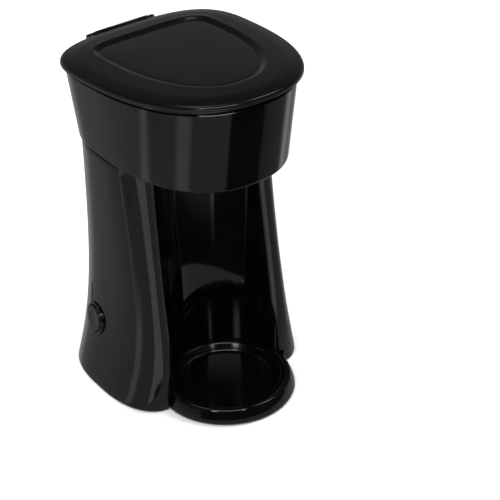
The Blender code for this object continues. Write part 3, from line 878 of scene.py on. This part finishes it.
# ------------------------------------------------------------------ lid
@dataclass
class Lid:
    """Tilted one-piece lid with a rounded edge and a shallow D-shaped panel.

    Args:
        edge: half width, front y and back y of the lid.
        panel: the same of its panel.
        panel_shift: how far the panel's middle is to the right.
        under: height of the underside at the back.
        thick: thickness at the edge.
        step_depth: depth of the step down to the panel.
        step_width: width of that step.
        crown: rise of the border towards the panel.
        knuckle_span: x of the inner and outer side of a knuckle.
        rod_reach: half of the hinge rod's length.
    """

    edge: Point = (72.0, -54.0, 125.2)
    panel: Point = (49.0, -27.6, 103.8)
    panel_shift: float = 2.0
    under: float = 242.9
    thick: float = 4.7
    step_depth: float = 1.9
    step_width: float = 5.2
    crown: float = 1.5
    knuckle_span: Flat = (17.0, 23.6)
    rod_reach: float = 22.5

    def lifted(self, outline: Iterable[Flat], z: float) -> list[Point]:
        """Lay an outline on the lid's slope."""
        return [(x, y, z + sloped(y)) for x, y in outline]

    def plan(self, inset: float) -> list[Flat]:
        """Return the lid outline."""
        half, front, back = self.edge
        return even(egg(half - inset, front + inset, back - inset, 62.0, (2.38, 3.2), 960), 288)

    def panel_plan(self, inset: float) -> list[Flat]:
        """Return the panel outline: nearly straight back, rounded front."""
        half, front, back = self.panel
        outline = egg(half - inset, front + inset, back - inset, 66.0, (2.2, 5.0), 960)
        return [(x + self.panel_shift, y) for x, y in even(outline, 288)]

    def blended(self, share: float) -> list[Flat]:
        """Return an outline between the lid's border and the panel's edge."""
        return [(between(a[0], b[0], share), between(a[1], b[1], share))
                for a, b in zip(self.plan(15.0), self.panel_plan(0.0))]

    def build(self) -> Piece:
        """Model the shell, its panel and its underside."""
        z, top = self.under, self.under + self.thick
        rings = [self.lifted(self.shrunk(self.panel_plan(5.0), 0.05), top - 2.4),
                 self.lifted(self.panel_plan(5.0), top - 2.6),
                 self.lifted(self.plan(14.0), top - 2.2), self.lifted(self.plan(5.2), top - 2.6),
                 self.lifted(self.plan(4.9), z + 0.3), self.lifted(self.plan(4.6), z),
                 self.lifted(self.plan(1.6), z)]
        for i in range(7):
            a = math.pi / 2 * i / 6
            rings.append(self.lifted(self.plan(1.1 * (1 - math.sin(a))),
                                     z + 1.0 * (1 - math.cos(a)) + 0.1))
        for i in range(1, 11):
            a = math.pi / 2 * i / 10
            rings.append(self.lifted(self.plan(3.0 * (1 - math.cos(a))),
                                     z + 1.7 + (top - z - 1.7) * math.sin(a)))
        for inset in (4.5, 6.5, 9.0, 12.0, 15.0):
            rings.append(self.lifted(self.plan(inset),
                                     top + self.crown * math.sin((inset - 3) / 12 * math.pi / 2)))
        for share in (0.3, 0.6, 0.85):
            rings.append(self.lifted(self.blended(share), top + self.crown + 0.4 * share))
        rings += self._panel_rings(top + self.crown + 0.4)
        obj = Bench.smooth(Bench.loft("lid_shell", rings), 40.0)
        return Piece(obj, LID_ABS, "lid", Body.LID)

    def _panel_rings(self, brim: float) -> list[list[Point]]:
        """Return the soft step and the gently crowned floor of the panel."""
        rings = []
        for i in range(13):
            t = i / 12
            rings.append(self.lifted(self.panel_plan(self.step_width * t),
                                     brim - self.step_depth * eased(t)))
        floor = self.panel_plan(self.step_width)
        for i in range(1, 13):
            size = math.cos(i / 12.3 * math.pi / 2)
            rings.append(self.lifted(self.shrunk(floor, size),
                                     brim - self.step_depth + 0.7 * math.sin(i / 12 * math.pi / 2)))
        return rings

    def shrunk(self, outline: list[Flat], size: float) -> list[Flat]:
        """Return an outline drawn smaller about the middle of the panel."""
        middle = (self.panel[1] + self.panel[2]) / 2
        return [(self.panel_shift + (x - self.panel_shift) * size,
                 middle + (y - middle) * size) for x, y in outline]

    def rod(self) -> Piece:
        """Model the thin rod that joins the knuckles over the back edge."""
        reach = self.rod_reach
        profile = [(0.5, 0.0), (0.95, 0.3), (1.1, 0.9), (1.1, 2 * reach - 0.9),
                   (0.95, 2 * reach - 0.3), (0.5, 2 * reach)]
        obj = Bench.turned("lid_hinge_rod", profile, (-reach, HINGE[0] - 0.3, HINGE[1] + 2.8),
                           (1, 0, 0), 32)
        return Piece(Bench.smooth(obj, 50.0), LID_ABS, "lid", Body.LID, False)

    def knuckle(self, side: int) -> Piece:
        """Model one hinge knuckle on the back edge."""
        y, z = HINGE
        outline = [(y - 7.6, z - 0.4), (y - 3.4, z - 1.6)]
        outline += [(y + 3.0 * math.cos(a), z + 3.0 * math.sin(a))
                    for a in [math.pi * (1.22 + 1.2 * i / 12) for i in range(13)]]
        outline += [(y - 2.0, z + 3.0), (y - 7.6, z + 3.0)]
        low, high = sorted(side * x for x in self.knuckle_span)
        obj = Bench.slab("lid_knuckle_" + ("left" if side < 0 else "right"), outline,
                         lambda p, d: (d, p[0], p[1]), low, high)
        Bench.drill(obj, *PIN_HOLE)
        Bench.round_edges(obj, 0.3, 2, 60.0)
        return Piece(Bench.smooth(obj), LID_ABS, "lid", Body.LID, False)


# ------------------------------------------------------------------ platform and tray
@dataclass
class Platform:
    """Round base ring with a sloping skirt, and the lift-off tray in its well.

    Args:
        radius: outer radius of the ring.
        top: height of the ring.
        well: radius of the well that holds the tray.
        floor: height of the tray's floor.
    """

    radius: float = 50.6
    top: float = 12.8
    well: float = 41.4
    floor: float = 6.4

    def build(self) -> Piece:
        """Turn the ring."""
        profile = [(2.0, 1.5), (self.radius - 1.2, 1.5), (self.radius - 0.35, 1.8),
                   (self.radius, 2.5), (self.radius - 0.1, 4.0), (self.radius - 0.6, 6.0),
                   (49.2, 8.2), (48.5, 9.9), (48.05, 10.9), (47.6, 11.7), (47.0, 12.35),
                   (46.2, 12.7), (45.2, self.top), (44.0, self.top), (self.well + 1.3, 12.7),
                   (self.well + 0.7, 12.4), (self.well + 0.45, 11.8), (self.well + 0.3, 11.0),
                   (self.well - 3.2, 4.2), (2.0, 4.2)]
        obj = Bench.turned("cup_platform", profile, (0, 0, 0), steps=160, closed=True)
        return Piece(Bench.smooth(obj, 40.0), PIANO_ABS, "tray_platform")

    def tray(self) -> Piece:
        """Turn the shallow tray with its rolled rim."""
        well, top = self.well, self.top
        profile = [(well - 3.8, 4.6), (well - 0.5, top - 1.6), (well - 0.15, top - 1.1),
                   (well - 0.35, top - 0.7), (well - 0.9, top - 0.5), (well - 1.6, top - 0.55),
                   (well - 2.2, top - 0.9), (well - 2.6, top - 1.5), (well - 4.6, self.floor + 1.4),
                   (well - 5.0, self.floor + 0.6), (well - 5.8, self.floor + 0.1),
                   (well - 6.8, self.floor)]
        obj = Bench.turned("tray_dish", profile, (0, 0, 0), steps=160)
        return Piece(Bench.smooth(obj, 40.0), TRAY_ABS_PAINTED_SHADE, "drip_tray", Body.TRAY)


# ------------------------------------------------------------------ brewing parts
@dataclass
class BrewingParts:
    """What the open lid shows: tank, basket, filter, arm and shower head; and the gland.

    Args:
        basket_y: y of the basket's middle.
        deck: height of the deck that they hang in.
        floor: height of the floor under the basket.
        tank: half width, front y and back y of the tank.
        tank_foot: height of the tank's underside.
        outlet: x and y of the tank's outlet.
        outlet_hole: radius of the hole for it.
        riser: x and y of the riser under the arm.
    """

    basket_y: float = 2.0
    deck: float = 231.0
    floor: float = 195.0
    tank: Point = (47.0, 54.0, 106.0)
    tank_foot: float = 104.0
    outlet: Flat = (-22.0, 80.0)
    outlet_hole: float = 6.4
    riser: Flat = (53.5, 80.0)

    def basket(self) -> Piece:
        """Turn the tapered basket that hangs by its flange."""
        low, rim = self.floor + 4.2, self.deck + 2.7
        profile = [(2.6, low), (23.6, low), (26.0, low + 0.6), (30.0, low + 3.0), (38.6, rim),
                   (42.1, rim), (42.6, rim + 0.5), (42.6, rim + 1.3), (42.1, rim + 1.8),
                   (37.9, rim + 1.8), (37.4, rim + 1.4), (28.4, low + 4.6), (25.4, low + 2.6),
                   (23.0, low + 2.0), (2.6, low + 2.0)]
        obj = Bench.turned("brew_basket_cone", profile, (0, self.basket_y, 0), closed=True)
        return Piece(Bench.smooth(obj, 35.0), BASKET_PP, "brew_basket")

    def filter_cup(self) -> list[Piece]:
        """Turn the mesh cup with its rim, and shape the lifting tab."""
        low, rim = self.floor + 9.0, self.deck + 4.8
        centre = (0, self.basket_y, 0)
        profile = [(1.0, low), (21.6, low), (22.2, low + 0.5), (35.1, rim - 0.3),
                   (34.2, rim - 0.3), (21.4, low + 1.0), (1.0, low + 0.7)]
        cup = Bench.turned("filter_mesh_cup", profile, centre)
        profile = [(34.1, rim - 0.3), (36.0, rim), (38.2, rim), (38.6, rim + 0.4),
                   (38.6, rim + 1.0), (38.1, rim + 1.4), (34.6, rim + 1.4), (34.1, rim + 1.0)]
        edge = Bench.turned("filter_rim", profile, centre, closed=True)
        y = self.basket_y - 38.0
        outline = [(-5.0, rim + 0.2), (5.0, rim + 0.2), (5.0, rim + 4.4), (3.6, rim + 6.4),
                   (1.8, rim + 7.0), (-1.8, rim + 7.0), (-3.6, rim + 6.4), (-5.0, rim + 4.4)]
        tab = Bench.slab("filter_tab", outline, lambda p, d: (p[0], d, p[1]), y, y + 2.0)
        Bench.round_edges(tab, 0.5, 3)
        return [Piece(Bench.smooth(cup, 35.0), MESH, "mesh_filter"),
                Piece(Bench.smooth(edge, 50.0), BASKET_PP, "mesh_filter", instead=False),
                Piece(Bench.smooth(tab), BASKET_PP, "mesh_filter", instead=False)]

    def arm(self) -> list[Piece]:
        """Model the moulded arm and its clip-on shower head."""
        z = self.deck + 12.6
        x, y = self.riser
        path = Bench.rounded([(x, y, self.deck + 4.0), (x, y, z), (46.0, 46.0, z),
                              (0.0, self.basket_y, z), (0.0, self.basket_y, z - 6.5)], 4.0)
        pipe = Bench.tube("spray_arm_tube", path, 3.4, 2.0)
        profile = [(1.5, z - 9.5), (10.1, z - 9.5), (11.2, z - 9.0), (11.5, z - 8.5),
                   (11.1, z - 7.8), (10.0, z - 7.1), (7.6, z - 6.5), (5.9, z - 6.2),
                   (5.4, z - 5.8), (5.4, z - 5.0), (5.1, z - 4.7), (3.9, z - 4.7),
                   (3.9, z - 7.3), (1.5, z - 7.3)]
        rose = Bench.turned("shower_rose", profile, (0, self.basket_y, 0), steps=64, closed=True)
        return [Piece(Bench.smooth(pipe, 40.0), BASKET_PP, "spray_arm"),
                Piece(Bench.smooth(rose, 35.0), BASKET_PP, "shower_head")]

    def water_tank(self) -> Piece:
        """Model the open tank with rounded corners."""
        half, front, back = self.tank
        brim, foot = self.deck + 4.6, self.tank_foot

        def level(grow: float, z: float) -> list[Point]:
            outline = egg(half + grow, front - grow, back + grow, (front + back) / 2,
                          (5.0, 5.0), 960)
            return [(x, y, z) for x, y in even(outline, 160)]

        rings = [level(-2.0, foot), level(-0.6, foot + 0.6), level(0.0, foot + 2.0),
                 level(0.0, brim - 0.5), level(-0.4, brim), level(-1.6, brim),
                 level(-2.0, brim - 0.5), level(-2.0, foot + 4.0), level(-2.8, foot + 2.6),
                 level(-4.0, foot + 2.2)]
        obj = Bench.loft("tank_shell", rings)
        Bench.drill(obj, self.outlet_hole, foot - 5, foot + 8, (*self.outlet, 0.0), steps=48)
        return Piece(Bench.smooth(obj, 35.0), TANK_SAN, "water_tank")

    def gland(self) -> Piece:
        """Turn the ribbed strain relief at the back of the foot."""
        profile = [(3.2, -6.0), (7.6, -6.0), (7.6, -4.6), (6.0, -4.6), (6.0, 1.6), (7.0, 1.6),
                   (7.4, 1.9), (7.35, 2.8), (7.0, 3.6), (6.0, 3.8), (5.9, 4.4), (6.5, 4.7),
                   (6.2, 5.6), (5.3, 5.8), (5.2, 6.4), (5.6, 6.7), (5.2, 7.8), (4.6, 8.3),
                   (4.2, 8.5), (3.2, 8.5)]
        obj = Bench.turned("cord_strain_relief", profile, (0, 119.0, GLAND_Z), (0, 1, 0), 64,
                           closed=True)
        return Piece(Bench.smooth(obj, 35.0), RUBBER, "cord_gland")

    def build(self) -> list[Piece]:
        """Build all of them."""
        return [self.basket(), *self.filter_cup(), *self.arm(), self.water_tank(), self.gland()]


# ------------------------------------------------------------------ switch
@dataclass
class Switch:
    """Round push button in a bezel, square to the leaning side of the housing.

    Args:
        face: middle of the bezel's opening.
        axis: direction into the housing.
        hole: radius of the hole for the bezel.
    """

    face: Point = (-68.6, 69.8, 49.5)
    axis: Point = (0.9881, -0.0988, -0.1186)
    hole: float = 12.7

    def groove_tool(self) -> bpy.types.Object:
        """Return the cutter of the short upright groove above the switch."""
        x, y, z = self.face
        outline = [(-11.0, 8.8), (5.5, 8.8), (7.0, 25.5), (-11.0, 25.5)]
        return Bench.slab("tool", outline, lambda p, d: (x + p[0], d, z + p[1]),
                          y + 8.4, y + 10.0)

    def bezel(self) -> Piece:
        """Turn the ring round the button."""
        profile = [(12.45, 7.0), (12.45, 0.0), (12.35, -0.3), (12.0, -0.5), (11.3, -0.55),
                   (10.85, -0.45), (10.55, -0.1), (10.4, 0.6), (10.4, 7.0)]
        obj = Bench.turned("switch_ring", profile, self.face, self.axis, 96, closed=True)
        return Piece(Bench.smooth(obj, 50.0), PIANO_ABS, "switch_bezel")

    def button(self) -> Piece:
        """Turn the domed cap with a shallow finger dish."""
        profile = [(0.3, -1.0), (3.0, -1.02), (6.0, -1.15), (8.2, -1.3), (9.0, -1.25),
                   (9.5, -1.0), (9.85, -0.4), (9.95, 0.4), (9.95, 4.0)]
        obj = Bench.turned("switch_cap", profile, self.face, self.axis, 96)
        return Piece(Bench.smooth(obj, 50.0), PIANO_ABS, "switch_button", Body.BUTTON)


# ------------------------------------------------------------------ studio
@dataclass(frozen=True)
class Glow:
    """One soft patch of the surrounding light.

    Args:
        azimuth: direction of its middle, degrees anticlockwise from +x.
        elevation: height of its middle over the horizon, degrees.
        wide: half of its width, degrees.
        tall: half of its height, degrees.
        soft: width of its fading edge, degrees.
        power: brightness that it mixes in.
        lean: degrees of azimuth that its middle shifts for each degree of elevation.
    """

    azimuth: float
    elevation: float
    wide: float
    tall: float
    soft: float
    power: float
    lean: float = 0.0


@dataclass
class Studio:
    """Pale floor, soft light all round with a few strips and dark flags, and the camera.

    Args:
        azimuth: direction the camera looks in, degrees clockwise from +y.
        pitch: degrees that it looks down.
        roll: degrees that it is turned about its line of sight.
        lens: focal length in millimetres.
        spot: where it stands, in the maker's own layout.
        middle: point that the lamps face, in metres.
        floor_size: side of the floor in metres.
        patch_radius: radius of the lit patch of floor.
        patch_spot: middle of that patch.
        patch_power: its brightness.
        low: brightness of the surroundings below the horizon.
        horizon: their brightness at the horizon.
        overhead: their brightness overhead.
        lamps: name, place in metres, size in metres and power of each lamp.
        glows: the patches mixed into the surroundings, in order.
    """

    azimuth: float = 34.0
    pitch: float = 32.5
    roll: float = 1.0
    lens: float = 172.8
    spot: Point = (-792.16, -1208.55, 1039.54)
    middle: Point = (0.0, 0.0, 0.12)
    floor_size: float = 12.0
    patch_radius: float = 97.0
    patch_spot: Point = (20.0, 0.0, 0.2)
    patch_power: float = 0.34
    low: float = 0.31
    horizon: float = 0.22
    overhead: float = 0.045
    lamps: tuple[tuple[str, Point, float, float], ...] = (
        ("key", (-1.4, -1.2, 2.2), 1.6, 50.0), ("fill", (1.7, -0.4, 2.0), 1.4, 40.0),
        ("back", (-0.4, 1.8, 2.0), 1.4, 34.0))
    glows: tuple[Glow, ...] = (
        Glow(160, -27, 4.5, 14, 5, 0.74, 0.6), Glow(-164, -44, 9, 9, 8, 0.72),
        Glow(170, -32, 14, 5, 4, 0.24), Glow(88, -28, 12, 16, 12, 0.5),
        Glow(50, -28, 9, 18, 8, 0.9), Glow(10, -28, 7, 14, 6, 0.75),
        Glow(-128, -20, 25, 10, 4, 0.98),
        Glow(-65, -48, 25, 16, 6, 0.02), Glow(-22, -42, 20, 9, 6, 0.16),
        Glow(-73, -31.5, 40, 3.4, 1.6, 0.02), Glow(-137, -29.1, 28, 1.9, 1.0, 0.02),
        Glow(-90, 4, 75, 13, 4, 0.03), Glow(-120, 48, 34, 6, 5, 5.0),
        Glow(-145, 28.5, 5, 4, 2, 7.0), Glow(-95, 28.5, 2.0, 4, 1.5, 7.0),
        Glow(-30, 55, 14, 12, 5, 3.0), Glow(120, 68, 70, 8, 8, 1.2))

    def floor(self) -> None:
        """Lay a large pale floor that the gloss does not see."""
        Bench.deselect()
        bpy.ops.mesh.primitive_plane_add(size=self.floor_size)
        self._paper("studio_floor", "white_sweep_paper",
                    {"Base Color": linear("#f6f6f6"), "Roughness": 0.8}, ["glossy"])

    def patch(self) -> None:
        """Lay the lit patch of floor in front that only the gloss sees."""
        Bench.deselect()
        bpy.ops.mesh.primitive_circle_add(vertices=96, radius=self.patch_radius * MM,
                                          fill_type="NGON", location=place(self.patch_spot))
        self._paper("studio_lit_patch", "lit_sweep_paper",
                    {"Base Color": linear("#000000"), "Emission Color": linear("#ffffff"),
                     "Emission Strength": self.patch_power}, ["camera", "diffuse", "shadow"])

    @staticmethod
    def _paper(name: str, finish: str, values: dict[str, object], unseen: list[str]) -> None:
        """Finish and stage the sheet that was just added.

        Args:
            name: name of the sheet.
            finish: name of its material.
            values: the material's inputs.
            unseen: kinds of ray that it is hidden from.
        """
        sheet = bpy.context.object
        sheet.name = name
        recipe = Recipe(finish)
        for key, value in {"Specular IOR Level": 0.0, **values}.items():
            recipe.inputs[key].default_value = value
        sheet.data.materials.append(recipe.material)
        for ray in unseen:
            setattr(sheet, "visible_" + ray, False)

    def surroundings(self) -> None:
        """Surround the maker with a soft gradient, light strips and dark flags."""
        world = bpy.data.worlds.new("studio_world")
        world.use_nodes = True
        tree = world.node_tree
        where = node(tree, "TexCoord").outputs["Generated"]
        axes = node(tree, "SeparateXYZ", {0: where}).outputs
        turn = maths(tree, "ARCTAN2", axes["Y"], axes["X"])
        rise = maths(tree, "ARCSINE", axes["Z"])
        upper = node(tree, "MapRange", {"interpolation_type": "SMOOTHSTEP", "From Min": -0.05,
                                        "From Max": 0.55, "To Min": self.horizon,
                                        "To Max": self.overhead, "Value": rise})
        side = node(tree, "MapRange", {"interpolation_type": "SMOOTHSTEP", "From Min": -0.15,
                                       "From Max": 0.05, "Value": rise})
        level = node(tree, "Mix", {0: side.outputs[0], 2: self.low,
                                   3: upper.outputs[0]}).outputs[0]
        for glow in self.glows:
            level = self._blend(tree, glow, turn, rise, level)
        tree.links.new(level, tree.nodes["Background"].inputs["Strength"])
        tree.nodes["Background"].inputs["Color"].default_value = linear("#ffffff")
        bpy.context.scene.world = world

    @staticmethod
    def _blend(tree: bpy.types.NodeTree, glow: Glow, turn: bpy.types.NodeSocket,
               rise: bpy.types.NodeSocket, level: bpy.types.NodeSocket) -> bpy.types.NodeSocket:
        """Mix one soft patch into the light.

        Args:
            tree: the world's node tree.
            glow: the patch.
            turn: azimuth of the ray, radians.
            rise: elevation of the ray, radians.
            level: brightness so far.

        Returns:
            The brightness with the patch mixed in.
        """
        leaning = maths(tree, "MULTIPLY_ADD", rise, -glow.lean,
                        math.radians(glow.lean * glow.elevation))
        masks = []
        for value, middle, half in ((maths(tree, "ADD", turn, leaning), glow.azimuth, glow.wide),
                                    (rise, glow.elevation, glow.tall)):
            away = maths(tree, "SUBTRACT", value, math.radians(middle))
            size = maths(tree, "ABSOLUTE", maths(tree, "WRAP", away, math.pi, -math.pi))
            masks.append(node(tree, "MapRange", {
                "interpolation_type": "SMOOTHSTEP", "Value": size,
                "From Min": math.radians(half + glow.soft / 2),
                "From Max": math.radians(half - glow.soft / 2)}).outputs[0])
        return node(tree, "Mix", {0: maths(tree, "MULTIPLY", *masks), 2: level,
                                  3: glow.power}).outputs[0]

    def light(self) -> None:
        """Hang large soft lamps over the floor."""
        for name, spot, size, power in self.lamps:
            lamp = bpy.data.lights.new("softbox_" + name, "AREA")
            lamp.size = size
            lamp.energy = power
            holder = bpy.data.objects.new("softbox_" + name, lamp)
            bpy.context.scene.collection.objects.link(holder)
            holder.location = spot
            aim = Vector(self.middle) - Vector(spot)
            holder.rotation_euler = aim.to_track_quat("-Z", "Y").to_euler()
            holder.visible_glossy = False

    def camera(self) -> None:
        """Stand the camera to the front left, looking down."""
        az, down, roll = (math.radians(a) for a in (self.azimuth, self.pitch, self.roll))
        ahead = Vector((math.sin(az) * math.cos(down), math.cos(az) * math.cos(down),
                        -math.sin(down)))
        right = Vector((math.cos(az), -math.sin(az), 0.0))
        up = right.cross(ahead)
        right, up = (right * math.cos(roll) - up * math.sin(roll),
                     up * math.cos(roll) + right * math.sin(roll))
        data = bpy.data.cameras.new("studio_camera")
        data.lens = self.lens
        data.clip_end = 50.0
        cam = bpy.data.objects.new("studio_camera", data)
        bpy.context.scene.collection.objects.link(cam)
        turn = Matrix((right, up, -ahead)).transposed().to_4x4()
        cam.matrix_world = Matrix.Translation(place(self.spot)) @ turn
        bpy.context.scene.camera = cam
        bpy.context.scene.view_settings.view_transform = "Standard"


def numbered(name: str) -> tuple[str, ...]:
    """Return the names of the four parts of one kind."""
    return tuple(f"{name}_{i}" for i in range(1, 5))


def dress_cad() -> None:
    """Give every CAD node that still shows its procedural finish."""
    looks: tuple[tuple[object, tuple[str, ...]], ...] = (
        (BASKET_PP, ("head_floor", "top_deck", "outlet_spout", "valve_body")),
        (BASE_PP, ("base_plate", "lid_liner", "switch_body")),
        (RUBBER, ("tank_seal",) + numbered("rubber_foot")),
        (SILICONE, ("tank_hose", "heater_hose", "riser_hose")),
        (ALLOY, ("heater_tube", "heater_block")),
        (STEEL, ("hinge_pin", "heating_bar", "heater_strap", "thermal_fuse")
         + numbered("hose_clamp") + numbered("base_screw")),
        (CERAMIC, ("valve_ball", "thermostat")))
    for finish, names in looks:
        mat = finish.material()
        for name in names:
            obj = bpy.data.objects.get(name)
            for slot in obj.material_slots:
                slot.material = mat
            LOG.info("%s: %s", name, mat.name)


def main() -> None:
    """Build the maker, piece by piece, and set the stage."""
    studio = Studio()
    studio.camera()
    studio.floor()
    studio.patch()
    studio.surroundings()
    studio.light()
    dress_cad()
    switch, housing, head, lid, platform = Switch(), LowerHousing(), Head(), Lid(), Platform()
    pieces = [housing.build(switch), housing.liner(), head.build(), lid.build(),
              lid.knuckle(-1), lid.knuckle(1), lid.rod(), platform.build(), platform.tray(),
              switch.bezel(), switch.button(), *BrewingParts().build()]
    for piece in pieces:
        piece.deliver()
    Bench.deselect()


if __name__ == "__main__":
    main()
